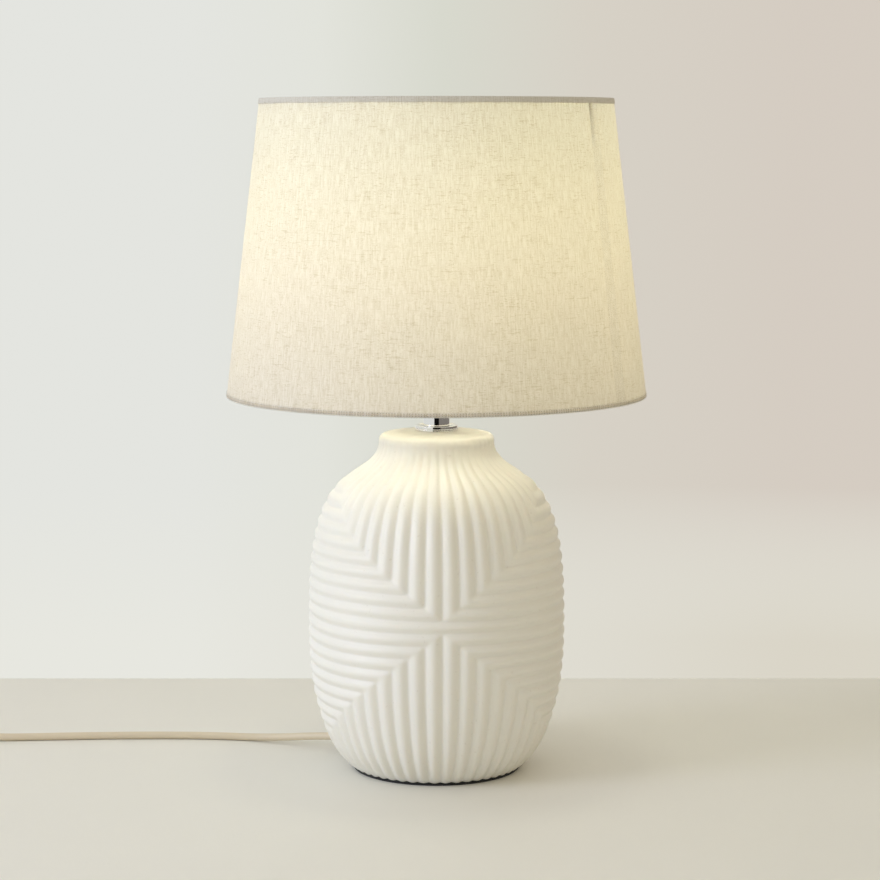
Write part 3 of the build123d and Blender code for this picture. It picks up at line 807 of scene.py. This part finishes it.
def coil_points():
    """Control points of the coil's turns, each of which changes its place in the bundle once."""
    points = []
    for angle in range(COIL_START + COIL_STEP, COIL_END, COIL_STEP):
        outwards, upwards = COIL_PLACES[0]
        for i in range(1, len(COIL_PLACES)):
            change = COIL_START + COIL_STAY * i
            share = float(smooth_step(angle, change - COIL_SHIFT / 2, change + COIL_SHIFT / 2))
            outwards += share * (COIL_PLACES[i][0] - COIL_PLACES[i - 1][0])
            upwards += share * (COIL_PLACES[i][1] - COIL_PLACES[i - 1][1])
        radius = COIL_RADIUS + STEP_OUTWARDS * outwards
        turn = math.radians(angle)
        x = COIL_CENTRE[0] + radius * math.cos(turn)
        y = COIL_CENTRE[1] + radius * math.sin(turn)
        points.append((x, y, CORD_DIAMETER / 2 + STEP_UPWARDS * upwards))
    return points


def make_cord():
    route = ROUTE_TO_COIL + coil_points() + ROUTE_TO_PLUG
    curve = bpy.data.curves.new("cord", "CURVE")
    curve.dimensions = "3D"
    curve.bevel_depth = CORD_DIAMETER / 2
    curve.bevel_resolution = 6
    curve.resolution_u = 6
    curve.use_fill_caps = True
    spline = curve.splines.new("NURBS")
    spline.points.add(len(route) - 1)
    for point, place in zip(spline.points, route):
        point.co = (*place, 1)
    spline.order_u = 3
    spline.use_endpoint_u = True
    cord = bpy.data.objects.new("cord", curve)
    bpy.context.collection.objects.link(cord)
    soft = {"Subsurface Weight": 0.1, "Subsurface Radius": (0.002, 0.0015, 0.001)}
    curve.materials.append(plain("cord_sheath", *SHEATH_COLOURS, 0.42, 200, **soft))
    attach(cord, "root")
    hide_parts("cord_to_switch", "cord_to_coil", "cord_to_plug", "cord_coil")


def paint_cad():
    paint(chrome("polished_chrome", 0.045), "neck_sleeve")
    steel = plain("zinc_steel", (0.52, 0.52, 0.51), (0.62, 0.62, 0.60), 0.32, 200, 1.0)
    paint(steel, "threaded_tube", "steel_washer", "hex_nut", "switch_screws", "rocker_pin")
    brass = plain("stamped_brass", (0.72, 0.52, 0.22), (0.78, 0.58, 0.27), 0.25, 200, 1.0)
    paint(brass, "terminal_screws", "centre_contact", "side_contact", "screw_shell", "switch_contacts")
    nickel = plain("nickel_plate", (0.68, 0.66, 0.62), (0.74, 0.72, 0.68), 0.20, 200, 1.0)
    paint(nickel, "bulb_cap", "bulb_contact", "plug_pins")
    white = plain("white_thermoset", (0.80, 0.79, 0.75), (0.84, 0.83, 0.80), 0.33, 200)
    paint(white, "holder_cap", "holder_shell", "shade_ring", "cord_grip")
    block = plain("terminal_ceramic", (0.74, 0.71, 0.64), (0.78, 0.76, 0.70), 0.6, 200)
    paint(block, "terminal_block")
    paint(plain("black_glass", (0.012, 0.012, 0.014), (0.02, 0.02, 0.024), 0.12, 100), "bulb_insulator")
    paint(glowing("opal_glass", (1.0, 0.97, 0.78), 19.5), "bulb_glass")
    paint(plain("stem_glass", (0.8, 0.8, 0.8), (0.85, 0.85, 0.85), 0.05, 100), "bulb_stem")
    paint(plain("phosphor", (0.85, 0.6, 0.15), (0.9, 0.68, 0.2), 0.5, 300), "bulb_filaments")
    wire = plain("white_powder_coat", (0.78, 0.77, 0.73), (0.83, 0.82, 0.79), 0.4, 300, 0.0, 0.0001)
    paint(wire, "bottom_ring", "top_ring", "fitter_hub", "fitter_arms")
    paint(plain("black_felt", (0.012, 0.012, 0.012), (0.03, 0.03, 0.03), 0.95, 400, 0.0, 0.0006,
                **{"Sheen Weight": 0.08}), "base_felt")
    beige = plain("beige_plastic", (0.56, 0.50, 0.37), (0.60, 0.54, 0.41), 0.45, 250, 0.0, 0.0001)
    paint(beige, "strain_relief", "switch_base", "switch_cover", "plug_body")
    paint(plain("rocker_plastic", (0.50, 0.44, 0.31), (0.54, 0.48, 0.35), 0.3, 250), "switch_rocker")
    paint(plain("core_insulation", (0.10, 0.05, 0.03), (0.14, 0.07, 0.04), 0.5, 250), "core_wires")
    paint(plain("inner_sheath", *SHEATH_COLOURS, 0.42, 200), "cord_inside")
    paint(plain("tie_band", (0.02, 0.02, 0.02), (0.035, 0.035, 0.035), 0.6, 300), "cord_tie")


set_camera()
set_world()
set_key_light()
make_table()
make_cards()
make_cord()
make_body()
make_flanges()
make_shade()
paint_cad()
